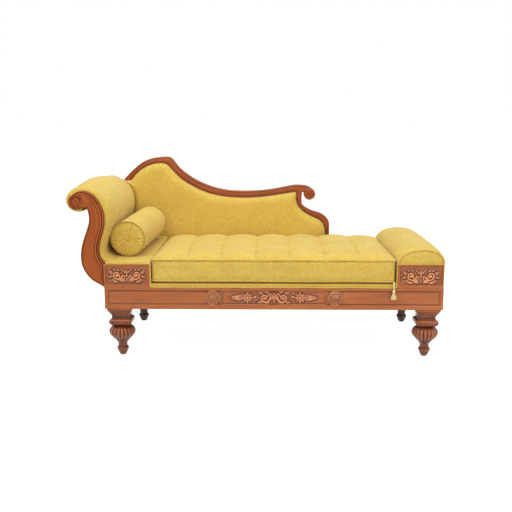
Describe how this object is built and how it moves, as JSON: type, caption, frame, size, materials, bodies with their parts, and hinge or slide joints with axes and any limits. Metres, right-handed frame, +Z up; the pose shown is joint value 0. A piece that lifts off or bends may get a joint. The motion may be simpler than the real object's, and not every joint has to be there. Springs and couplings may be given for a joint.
{
  "type": "fainting couch",
  "caption": "Fainting couch with a scrolled upholstered head, swept half back and low foot roll on turned legs, with a loose tufted seat cushion, bolster and hanging tassel.",
  "frame": {"origin": "centre of the footprint box on the floor", "axes": "+X from the scrolled head end to the foot end, +Y from the open front to the rear, +Z up"},
  "size_m": [1.8406, 0.7624, 0.9541],
  "materials": {
    "mahogany": "satin polish",
    "frame_timber": "sawn, unpolished",
    "steel": "plain",
    "golden_weave": "fine mottled weave",
    "stuffing": "matt",
    "webbing": "coarse weave",
    "dust_cloth": "matt",
    "silk_thread": "silky thread"
  },
  "bodies": {
    "couch": {"front_seat_rail": "mahogany", "rear_seat_rail": "mahogany", "head_seat_rail": "mahogany", "foot_seat_rail": "mahogany", "cross_bearers": "frame_timber", "corner_braces": "frame_timber", "leg_bolts": "steel", "brace_screws": "steel", "leg_front_head": "mahogany", "leg_front_foot": "mahogany", "leg_rear_head": "mahogany", "leg_rear_foot": "mahogany", "head_plinth_front": "mahogany", "head_plinth_rear": "mahogany", "head_plinth_sides": "frame_timber", "head_plinth_top": "frame_timber", "foot_plinth_front": "mahogany", "foot_plinth_rear": "mahogany", "foot_plinth_sides": "frame_timber", "front_scroll_facing": "mahogany", "rear_scroll_facing": "mahogany", "head_frame_boards": "frame_timber", "head_frame_rails": "frame_timber", "head_upholstery": "golden_weave", "head_outside_cover": "golden_weave", "ledge_upholstery": "golden_weave", "foot_roll_core": "stuffing", "foot_roll_upholstery": "golden_weave", "foot_roll_end_panels": "golden_weave", "foot_roll_piping": "golden_weave", "crest_rail": "mahogany", "return_stile": "mahogany", "back_posts": "frame_timber", "back_lower_rail": "frame_timber", "back_upholstery": "golden_weave", "back_outside_cover": "golden_weave", "webbing_cross_straps": "webbing", "webbing_long_straps": "webbing", "seat_deck": "golden_weave", "platform_welt": "golden_weave", "dust_cover": "dust_cloth", "rail_roundels": "mahogany", "rail_carving": "mahogany", "head_plinth_carving": "mahogany", "foot_plinth_carving": "mahogany"},
    "seat_cushion": {"seat_cushion": "golden_weave", "seat_cushion_piping": "golden_weave"},
    "bolster": {"bolster": "golden_weave", "bolster_piping": "golden_weave", "bolster_buttons": "golden_weave"},
    "tassel": {"tassel": "silk_thread"}
  },
  "joints": [
    {"name": "seat_cushion_lift", "type": "slide", "parent": "couch", "child": "seat_cushion", "axis": [0, 0, 1], "range_m": [0, 0.2]},
    {"name": "bolster_lift", "type": "slide", "parent": "couch", "child": "bolster", "axis": [0.407, 0, 0.9134], "range_m": [0, 0.3]},
    {"name": "tassel_swing", "type": "hinge", "parent": "seat_cushion", "child": "tassel", "pos_m": [0.67244, -0.37315, 0.38005], "axis": [-1, 0, 0], "range_deg": [0, 80]}
  ]
}
